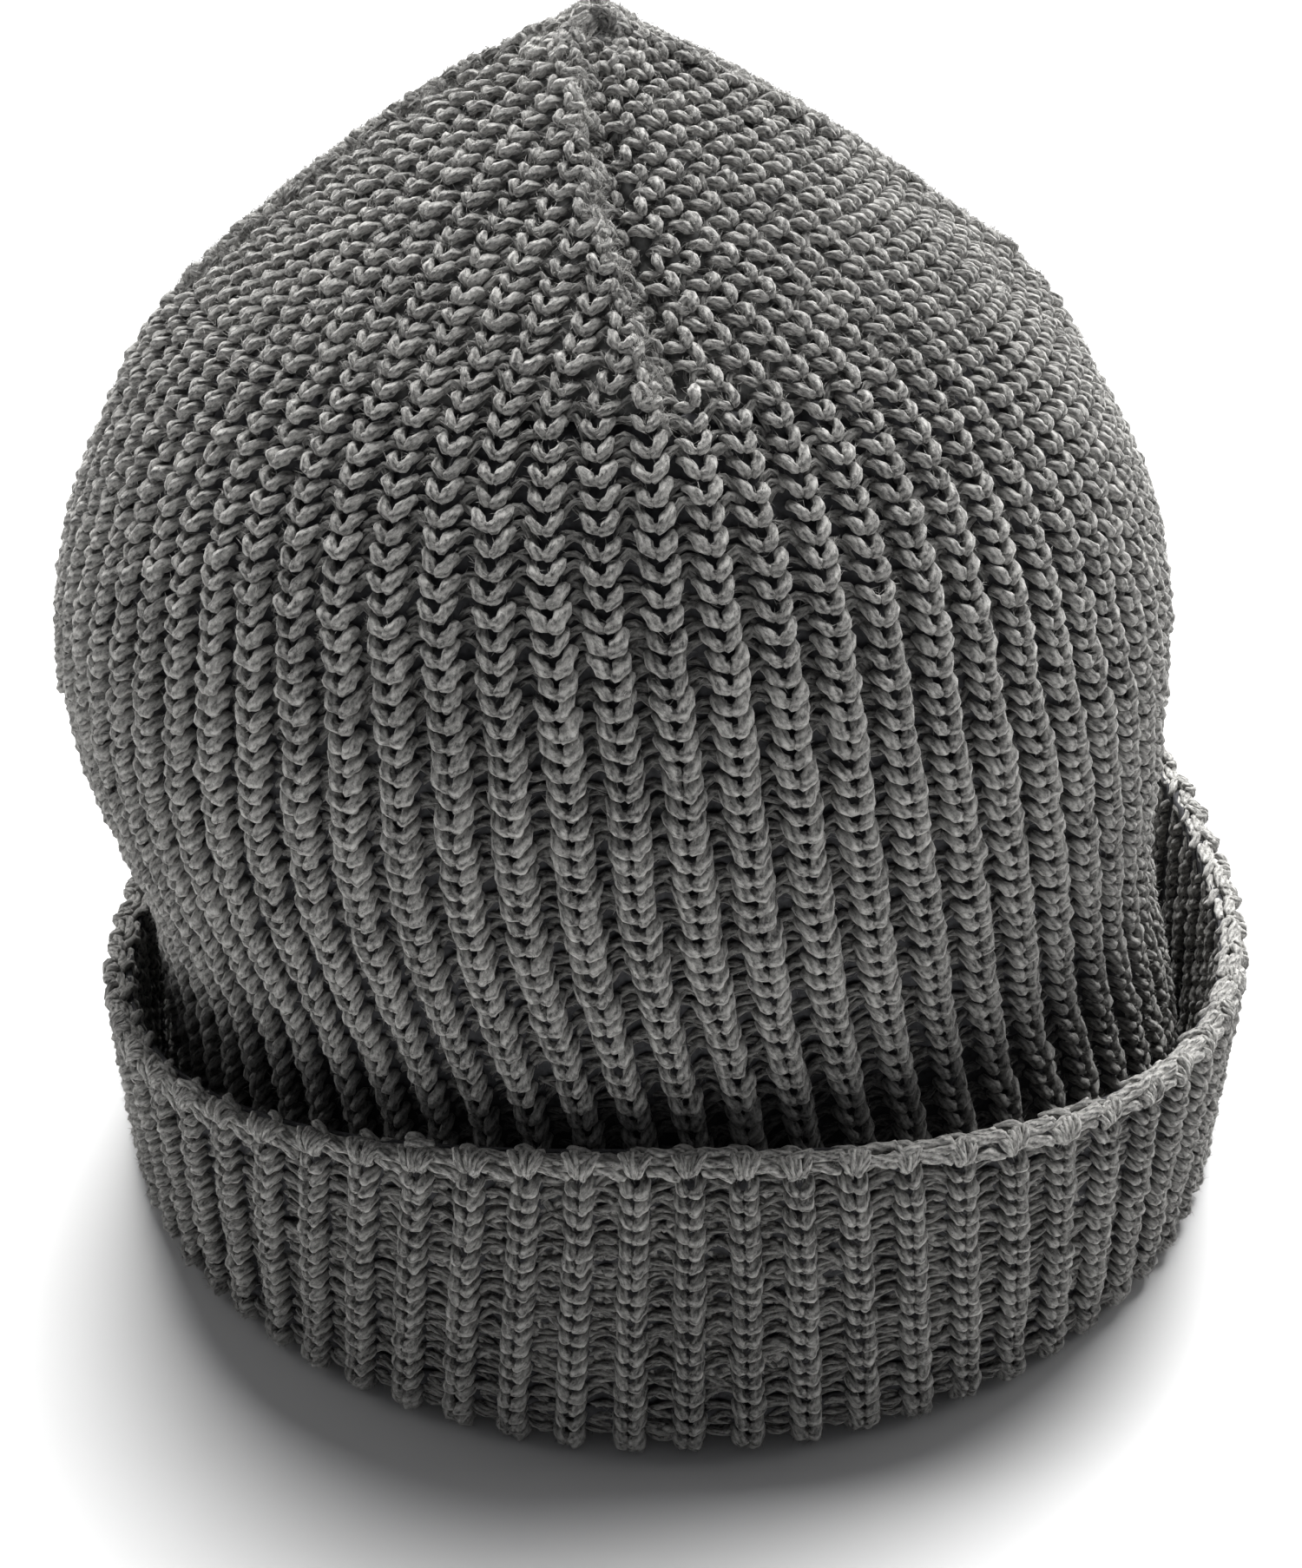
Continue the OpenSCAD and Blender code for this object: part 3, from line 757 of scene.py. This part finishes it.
def edge_loops():
    """The cast-on row: a loop on each rib, a small fan over it, and strands from rib to rib."""
    pitch = FOLD_R * RIB_STEP
    for k in range(4):
        a = cuff_a[k * GORE_RIBS:(k + 1) * GORE_RIBS]
        n = len(a)
        p, side, up, out = frames(cuff_path, a, np.zeros(n), 0.01, 0.4)
        at = local_points(p, side, up, out)
        yarn = Yarn()

        width = (1 + CUFF_SPREAD[0] * np.cos(2 * a))[:, None]

        def put(points, count, radius, sides=8, fuzz=3, jitter=0.2):
            x, y, z = smooth_path(points, count)
            move = rng.normal(0, jitter, (3, n, 1))
            line = at(x[None] * width + move[0], y[None] + move[1], z[None] + move[2])
            thick = radius * (1 + rng.normal(0, 0.07, (n, 1))) * np.ones(count)
            yarn.lay(line, out, thick, sides=sides, turns=0.6)
            yarn.fuzz(line, out, radius, fuzz)

        for i in (-2, -1, 0, 1, 2):
            put([(0.35 * i, 0.2, -1.9 + 0.1 * abs(i)), (0.45 * i, 1.3, -0.7), (0.85 * i, 2.8, -0.9),
                 (1.1 * i, 3.4 - 0.15 * abs(i), -2.2)], 9, 0.58, fuzz=14, jitter=0.22)
        put([(-1.6, 2.6, -1.5), (-0.6, 3.1, -1.8), (0.8, 3.0, -2.3), (1.9, 2.6, -2.8)],
            9, 0.66, fuzz=12, jitter=0.3)
        put([(1.6, 2.6, -2.4), (0.4, 3.0, -3.3), (-1.1, 2.8, -4.0), (-1.8, 2.0, -4.6)],
            9, 0.64, fuzz=12, jitter=0.3)
        low, high = 0.27 * pitch, 0.73 * pitch
        middle = pitch / 2
        put([(low - 0.4, 1.3, -1.7), (middle, 1.4, -1.3), (high + 0.2, 0.2, -1.8)], 7, 0.8, fuzz=14)
        put([(low - 0.8, 2.6, -1.8), (middle, 2.1, -2.0), (high + 0.6, 2.5, -1.9)], 9, 0.66, fuzz=12)
        put([(low - 0.9, 2.7, -2.4), (middle, 2.4, -2.9), (high + 0.8, 2.7, -2.5)], 7, 0.7, fuzz=10)
        put([(low - 0.5, 2.0, -3.8), (middle, 1.8, -3.9), (high + 0.5, 2.0, -3.8)], 7, 0.62, fuzz=4)
        put([(low, 0.6, -3.6), (middle, 0.7, -4.0), (high, 0.6, -3.6)], 7, 0.6)
        yarn.finish(f"edge_loops_{k}", rib_yarn, "cast_on_edge")


def crown_spot(rho, angle):
    """Height and angle of a point at a distance from the tip, counted from a dart."""
    z = np.interp(-rho, -crown_rho, crown_z)
    return z, twist(z) + angle


def dart_yarn():
    """Puckered stitches that link the two sides of each dart."""
    for k, name in enumerate(("front", "right", "back", "left")):
        rho = np.arange(1.2, FOOT_RHO + 2, 1.1)
        rho = rho[rng.random(len(rho)) < 0.62]
        n = len(rho)

        def place(x, s):
            z, phi = crown_spot(-s, k * GORE)
            return body_point(phi + x / np.maximum(hat_r(z), 1), z)

        p, side, up, out = frames(place, rng.normal(0, 0.3, n), -rho, 0.5, 0.5)
        at = local_points(p, side, up, out)
        yarn = Yarn()
        t = np.linspace(0, 1, 7)
        for turn in (-1, 1):
            lean = rng.normal(1.1 * turn, 0.7, (n, 1))
            left = rng.uniform(-2.6, -0.6, (n, 1))
            right = left + rng.uniform(1.0, 2.0, (n, 1))
            line = at(left + (right - left) * t, lean * (t - 0.5) * 2 + rng.normal(0, 0.5, (n, 1)),
                      -1.7 + 0.5 * np.sin(np.pi * t) + rng.normal(0, 0.35, (n, 1)))
            thick = YARN * rng.uniform(0.5, 0.8, (n, 1)) * np.ones(7)
            yarn.lay(line, out, thick, turns=0.8, shade=DART_SHADE)
            yarn.fuzz(line, out, YARN * 0.5, 30, 2.8)
        yarn.finish(f"dart_yarn_{name}", rib_yarn, f"dart_seam_{name}", slot="seam_yarn")


def gathered_tip():
    """Fabric drawn together at the tip."""
    count = 26
    a = np.arange(count) * TURN / count + rng.normal(0, 0.05, count)
    t = np.linspace(0, 1, 9)
    far = rng.uniform(3.5, 6.5, (count, 1))
    rho = far + (0.5 - far) * t
    z = np.interp(-rho, -crown_rho, crown_z)
    phi = twist(z) + a[:, None] + 0.35 * t
    hump = 0.5 * np.sin(np.pi * t) * rng.uniform(0.2, 1.2, (count, 1))
    line = body_point(phi, z, 0.7 + 1.2 * (1 - t) ** 3 - hump)
    out = unit(body_point(phi[:, 4], z[:, 4], -1.0) - body_point(phi[:, 4], z[:, 4], 1.0))
    yarn = Yarn()
    yarn.lay(line, out, 0.85 * (1 - 0.25 * t), turns=0.5)
    yarn.fuzz(line, out, 0.8, 30, 2.2)
    for far in (2.0, 3.8, 5.6, 7.4, 9.2, 11.0):
        round_it = max(6, round(TURN * float(np.interp(-far, -crown_rho, hat_r(crown_z))) / 1.9))
        a = np.arange(round_it) * TURN / round_it + rng.normal(0, 0.06, round_it)
        side_step = np.where(np.arange(round_it) % 2 == 0, 1.0, -1.0)[:, None]
        near = far + 1.3 + rng.normal(0, 0.2, (round_it, 1))
        rho = near + (far - 1.0 - near) * t
        z = np.interp(-np.maximum(rho, 0.3), -crown_rho, crown_z)
        phi = twist(z) + a[:, None] + side_step * (t - 0.5) * 1.5 / np.maximum(hat_r(z), 1.5)
        line = body_point(phi, z, 1.3 + 1.2 * (2 * t - 1) ** 4 + rng.normal(0, 0.12, (round_it, 1)))
        out = unit(body_point(phi[:, 4], z[:, 4], -1.0) - body_point(phi[:, 4], z[:, 4], 1.0))
        yarn.lay(line, out, 0.8 * (0.8 + 0.2 * np.sin(np.pi * t)), turns=0.7)
        yarn.fuzz(line, out, 0.8, 10)
    x0, y0 = (float(c) for c in hat_axis(CROWN_TOP))
    loops = 7
    q = np.linspace(-0.4, TURN + 0.4, 13)
    ring = []
    for i in range(loops):
        tilt, face = rng.uniform(0.2, 1.1), rng.uniform(0, TURN)
        c = np.array([math.cos(face) * 1.1, math.sin(face) * 1.1, rng.uniform(-0.4, 0.9)])
        flat = np.stack([1.4 * np.cos(q), 1.1 * np.sin(q), 0 * q], -1)
        tip = np.stack([flat[:, 0] * math.cos(tilt), flat[:, 1], flat[:, 0] * math.sin(tilt)], -1)
        spun = np.stack([tip[:, 0] * math.cos(face) - tip[:, 1] * math.sin(face),
                         tip[:, 0] * math.sin(face) + tip[:, 1] * math.cos(face), tip[:, 2]], -1)
        ring.append(spun + c + np.array([x0, y0, CROWN_TOP - 1.6]))
    ring = np.array(ring)
    up = np.tile(np.array([0.0, 0.0, 1.0]), (loops, 1))
    yarn.lay(ring, up, 0.62, turns=0.5)
    yarn.fuzz(ring, up, 0.6, 14, 2.2)
    yarn.finish("gathered_tip", rib_yarn, "crown_gather_thread", slot="seam_yarn")


def shell_between(name, outer, inner, loop, material):
    """Closed shell between two grids of points (around, up, 3)."""
    m, n, _ = outer.shape
    verts = np.concatenate([outer.reshape(-1, 3), inner.reshape(-1, 3)])
    wrap = m if loop else m - 1
    i, j = np.meshgrid(np.arange(wrap), np.arange(n - 1), indexing="ij")
    i, j = i.ravel(), j.ravel()
    i2 = (i + 1) % m
    a, b, c, d = i * n + j, i2 * n + j, i2 * n + j + 1, i * n + j + 1
    layer = m * n
    quads = [np.stack([a, b, c, d], -1), np.stack([d, c, b, a], -1) + layer]
    i = np.arange(wrap)
    i2 = (i + 1) % m
    low, low2 = i * n, i2 * n
    top, top2 = i * n + n - 1, i2 * n + n - 1
    quads.append(np.stack([low, low + layer, low2 + layer, low2], -1))
    quads.append(np.stack([top, top2, top2 + layer, top + layer], -1))
    if not loop:
        j = np.arange(n - 1)
        quads.append(np.stack([j, j + 1, j + 1 + layer, j + layer], -1))
        e = (m - 1) * n + j
        quads.append(np.stack([e, e + layer, e + 1 + layer, e + 1], -1))
    return make_mesh(name, verts, np.concatenate(quads), [], material)


def ribbed(a):
    """1 on a rib's crest, -1 in the valley between two ribs."""
    return np.cos(TURN * (a / RIB_STEP - 0.5))


def sheet_piece(node):
    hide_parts(node)


def wall_ground():
    a = np.arange(RIBS * GROUND_SAMPLES) * RIB_STEP / GROUND_SAMPLES
    z = arc_heights(FOLD_H, DART_FOOT_Z, ROW * 1.5)
    A, Z = np.meshgrid(a, z, indexing="ij")
    phi = rib_angle(A, Z)
    shoulder = ease((Z - 118) / 30)
    outer = body_point(phi, Z, 3.4 - 0.3 * shoulder - (0.8 - 0.4 * shoulder) * ribbed(A))
    inner = body_point(phi, Z, 4.5)
    obj = shell_between("wall_ground", outer, inner, True, ground)
    sheet_piece("body_wall")


def crown_ground():
    for k, node in enumerate(GORE_NAMES):
        f = np.linspace(-0.5, 0.5, 60) * GORE
        z = arc_heights(DART_FOOT_Z, CROWN_TOP - 4.0, ROW)
        F, Z = np.meshgrid(f, z, indexing="ij")
        phi = twist(Z) + (k + 0.5) * GORE + F
        outer, inner = body_point(phi, Z, 2.9), body_point(phi, Z, 4.3)
        obj = shell_between(f"crown_ground_{node}", outer, inner, False, crown_back_shade)
        sheet_piece(f"crown_gore_{node}")


def tip_ground():
    """Closed lump of drawn-in fabric under the tip."""
    sides, rings = 32, 9
    a = np.arange(sides) * TURN / sides
    q = np.linspace(0.02, math.pi - 0.02, rings)
    A, Q = np.meshgrid(a, q, indexing="ij")
    x0, y0 = (float(c) for c in hat_axis(CROWN_TOP - 3))
    verts = np.stack([x0 + 6.5 * np.sin(Q) * np.cos(A), y0 + 6.5 * np.sin(Q) * np.sin(A),
                      CROWN_TOP - 5.2 + 2.4 * np.cos(Q)], -1)
    i, j = np.meshgrid(np.arange(sides), np.arange(rings - 1), indexing="ij")
    i, j = i.ravel(), j.ravel()
    i2 = (i + 1) % sides
    quads = np.stack([i * rings + j, i * rings + j + 1, i2 * rings + j + 1, i2 * rings + j], -1)
    i = np.arange(sides)
    i2 = (i + 1) % sides
    top, low = sides * rings, sides * rings + 1
    points = np.concatenate([verts.reshape(-1, 3), [[x0, y0, CROWN_TOP - 2.8], [x0, y0, CROWN_TOP - 7.6]]])
    tris = np.concatenate([
        np.stack([i * rings, i2 * rings, np.full(sides, top)], -1),
        np.stack([i2 * rings + rings - 1, i * rings + rings - 1, np.full(sides, low)], -1)])
    # coloured with the crown's darker layer: painted shade under the gathered yarn
    obj = make_mesh("tip_ground", points, quads, tris, crown_back_shade)
    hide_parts("crown_gather_thread")


def cuff_ground():
    a = np.arange(RIBS * GROUND_SAMPLES) * RIB_STEP / GROUND_SAMPLES
    v = np.linspace(-0.02, 1.06, 14)
    A, V = np.meshgrid(a, v, indexing="ij")
    phi = cuff_angle(A + CUFF_TURN, (V - 1) * CUFF_SPREAD_S)
    outer, inner = cuff_point(phi, V, 3.4 - 0.7 * ribbed(A)), cuff_point(phi, V, 4.3)
    obj = shell_between("cuff_ground", outer, inner, True, ground)
    sheet_piece("cuff_band")


def fold_ground():
    a = np.arange(RIBS * GROUND_SAMPLES) * RIB_STEP / GROUND_SAMPLES
    s = np.linspace(0, -FOLD_LENGTH, 17)
    A, S = np.meshgrid(a, s, indexing="ij")
    phi = cuff_angle(A + CUFF_TURN, -CUFF_SPREAD_S)
    band = edge_top(phi) - EDGE_H - FOLD_H
    skin = cuff_raw(phi, S - band - 1e-6)
    du, dv = 0.01, 0.3
    side = cuff_raw(phi + du, S - band - 1e-6) - cuff_raw(phi - du, S - band - 1e-6)
    up = cuff_raw(phi, S - band + dv) - cuff_raw(phi, S - band - dv)
    out = unit(np.cross(side, up))
    outer = skin - out * (2.7 - 0.6 * ribbed(A))[..., None]
    inner = skin - out * (3.9 + 0.2 * ribbed(A))[..., None]
    obj = shell_between("fold_ground", outer, inner, True, ground)
    sheet_piece("turn_up_fold")


def seam_yarn_along(name, node, place, length, step, depth, girth):
    """Linked selvedges on a hidden face: strands that cross it. place takes (sideways, along)."""
    v = np.arange(step / 2, length, step)
    p, side, up, out = frames(place, np.zeros(len(v)), v, 0.5, 0.5)
    at = local_points(p, side, up, out)
    t = np.linspace(0, 1, 7)
    yarn = Yarn()
    for turn in (-1, 1):
        lean = rng.normal(0.9, 0.3, (len(v), 1)) * turn * step
        line = at((t - 0.5) * 3.0, lean * (t - 0.5) + rng.normal(0, 0.2, (len(v), 1)),
                  -depth * (0.35 + 0.3 * np.sin(np.pi * t)) - 0.25 * (turn + 1)
                  + rng.normal(0, 0.08, (len(v), 1)))
        yarn.lay(line, out, girth * rng.uniform(0.85, 1.1, (len(v), 1)) * np.ones(7), turns=0.8)
    yarn.finish(name, rib_yarn, node, slot="seam_yarn")


def seams():
    seam_yarn_along("back_seam_yarn", "back_seam",
                    lambda x, v: body_point(math.pi + x / hat_r(FOLD_H + v), FOLD_H + v, KNIT_T + 0.1),
                    DART_FOOT_Z - FOLD_H, 2.2, 2.4, 0.62)

    def on_cuff(x, v):
        phi = math.pi + x / FOLD_R
        return cuff_point(phi, v / (edge_top(phi) - EDGE_H - FOLD_H), KNIT_T + 0.1)

    seam_yarn_along("cuff_seam_yarn", "cuff_seam", on_cuff, EDGE_Z - EDGE_H - FOLD_H, 2.2, 1.1, 0.4)


def care_label():
    """Blank tape folded in half, its two ends caught in the back seam, with a row of short stitches."""
    bend = 0.24
    flap = np.linspace(0, LABEL_L - bend, 26)
    round_bend = LABEL_L - bend + np.linspace(0.1, 0.9, 7) * math.pi * bend
    s = np.concatenate([flap, round_bend, LABEL_L + math.pi * bend - bend + flap])
    u = np.linspace(-0.5, 0.5, 18) * LABEL_W
    U, S = np.meshgrid(u, s, indexing="ij")
    turn = np.clip((S - LABEL_L + bend) / bend, 0, math.pi)
    up = np.maximum(S - (LABEL_L - bend) - math.pi * bend, 0)
    down = np.minimum(S, LABEL_L - bend)
    z = LABEL_Z + LABEL_L - down + up - bend * np.sin(turn)
    depth = LABEL_INSET + 0.16 - bend * np.cos(turn) + bend
    wave = 0.25 * np.sin(U * 0.35 + 1) * (1 - (z - LABEL_Z) / LABEL_L)

    def skin(offset):
        flat = np.cos(turn) * offset
        return body_point(math.pi + U / hat_r(z), z - offset * np.sin(turn), depth + wave + flat)

    obj = shell_between("care_label_tape", skin(-0.14), skin(0.14), False, tape)
    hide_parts("care_label")
    n = 5
    a = math.pi + (np.arange(n) - (n - 1) / 2) * LABEL_W / n / hat_r(LABEL_Z + LABEL_L - 3)
    t = np.linspace(-1, 1, 7)
    height = LABEL_Z + LABEL_L - 3 + rng.normal(0, 0.1, (n, 1))
    line = body_point(a[:, None] + t * 1.2 / hat_r(height), height + 0 * t, LABEL_INSET + 0.95 - 0.3 * t**2)
    yarn = Yarn()
    yarn.lay(line, unit(line[:, 3] * np.array([1.0, 1.0, 0.0])), 0.24, ply=0.2, turns=1.0)
    yarn.finish("label_stitch_thread", thread, "label_stitches", slot="label_thread")


wall_knit()
crown_knit()
cuff_knit()
edge_loops()
dart_yarn()
gathered_tip()
seams()
care_label()
wall_ground()
crown_ground()
tip_ground()
fold_ground()
cuff_ground()
